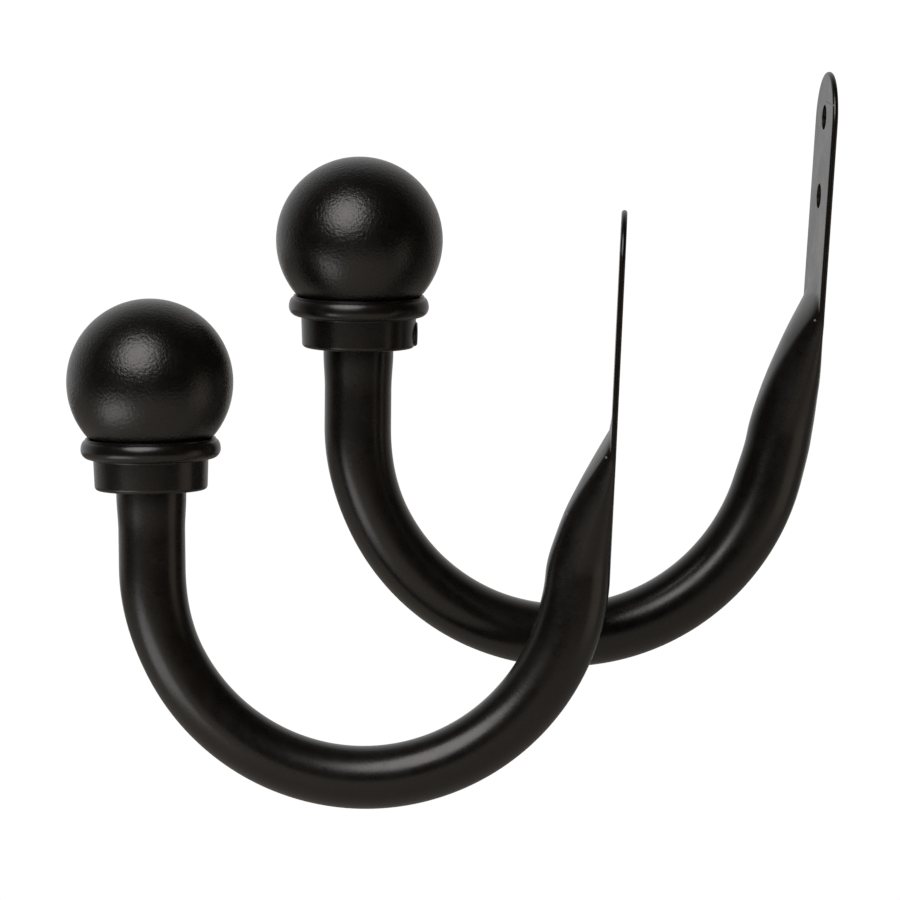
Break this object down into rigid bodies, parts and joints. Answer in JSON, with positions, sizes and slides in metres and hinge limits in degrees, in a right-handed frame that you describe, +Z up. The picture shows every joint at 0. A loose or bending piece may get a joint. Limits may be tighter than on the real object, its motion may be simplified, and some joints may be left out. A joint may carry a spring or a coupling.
{
  "type": "curtain holdback set",
  "caption": "Curtain holdback set: bent round tube hooks, each with a flattened, drilled wall tongue and a ball finial on a beaded collar.",
  "frame": {"origin": "on the front holdback's wall face, halfway between its two screw holes", "axes": "+X into the wall, +Z up along the tongue, +Y along the wall from the front holdback towards the rear one"},
  "size_m": [0.1818, 0.0698, 0.179],
  "materials": {
    "arm_black": "satin black powder coat on bent steel tube, fine orange peel",
    "collar_black": "satin black paint on a cast zinc collar",
    "ball_black": "semi-gloss black paint on a moulded ball, fine orange peel",
    "zinc_steel": "bright zinc-plated steel",
    "black_steel": "black-oxide steel set screw",
    "insert_brass": "turned brass threaded insert"
  },
  "bodies": {
    "front_hook": {"front_arm": "arm_black"},
    "front_slider": {"front_lock_washer": "zinc_steel"},
    "front_finial": {"front_collar": "collar_black"},
    "front_grub": {"front_set_screw": "black_steel"},
    "front_knob": {"front_ball": "ball_black", "front_insert": "insert_brass"},
    "front_bolt": {"front_finial_screw": "zinc_steel"},
    "rear_hook": {"rear_arm": "arm_black"},
    "rear_slider": {"rear_lock_washer": "zinc_steel"},
    "rear_finial": {"rear_collar": "collar_black"},
    "rear_grub": {"rear_set_screw": "black_steel"},
    "rear_knob": {"rear_ball": "ball_black", "rear_insert": "insert_brass"},
    "rear_bolt": {"rear_finial_screw": "zinc_steel"}
  },
  "joints": [
    {"name": "pair_spacing", "type": "slide", "parent": "front_hook", "child": "rear_hook", "axis": [0, 1, 0], "range_m": [0, 0.06]},
    {"name": "front_finial_pull", "type": "slide", "parent": "front_hook", "child": "front_slider", "axis": [-0.0593, 0, 0.9982], "range_m": [0, 0.015]},
    {"name": "front_finial_turn", "type": "hinge", "parent": "front_slider", "child": "front_finial", "pos_m": [-0.11064, 0, -0.05185], "axis": [-0.0593, 0, 0.9982], "continuous": true},
    {"name": "front_set_screw_out", "type": "slide", "parent": "front_finial", "child": "front_grub", "axis": [0.7647, 0.6428, 0.0454], "range_m": [0, 0.0065]},
    {"name": "front_ball_lift", "type": "slide", "parent": "front_finial", "child": "front_knob", "axis": [-0.0593, 0, 0.9982], "range_m": [0, 0.0104]},
    {"name": "front_screw_turn", "type": "hinge", "parent": "front_finial", "child": "front_bolt", "pos_m": [-0.11064, 0, -0.05185], "axis": [0.0593, 0, -0.9982], "range_deg": [0, 4680.01]},
    {"name": "rear_finial_pull", "type": "slide", "parent": "rear_hook", "child": "rear_slider", "axis": [-0.0376, -0.0095, 0.9992], "range_m": [0, 0.015]},
    {"name": "rear_finial_turn", "type": "hinge", "parent": "rear_slider", "child": "rear_finial", "pos_m": [-0.06278, 0.02031, -0.01715], "axis": [-0.0376, -0.0095, 0.9992], "continuous": true},
    {"name": "rear_set_screw_out", "type": "slide", "parent": "rear_finial", "child": "rear_grub", "axis": [0.9988, -0.0317, 0.0373], "range_m": [0, 0.0065]},
    {"name": "rear_ball_lift", "type": "slide", "parent": "rear_finial", "child": "rear_knob", "axis": [-0.0376, -0.0095, 0.9992], "range_m": [0, 0.0104]},
    {"name": "rear_screw_turn", "type": "hinge", "parent": "rear_finial", "child": "rear_bolt", "pos_m": [-0.06278, 0.02031, -0.01715], "axis": [0.0376, 0.0095, -0.9992], "range_deg": [0, 4680.01]}
  ],
  "couplings": [
    {"joint": "front_screw_turn", "follows": "front_ball_lift", "rad_per_m": 7854},
    {"joint": "rear_screw_turn", "follows": "rear_ball_lift", "rad_per_m": 7854}
  ]
}
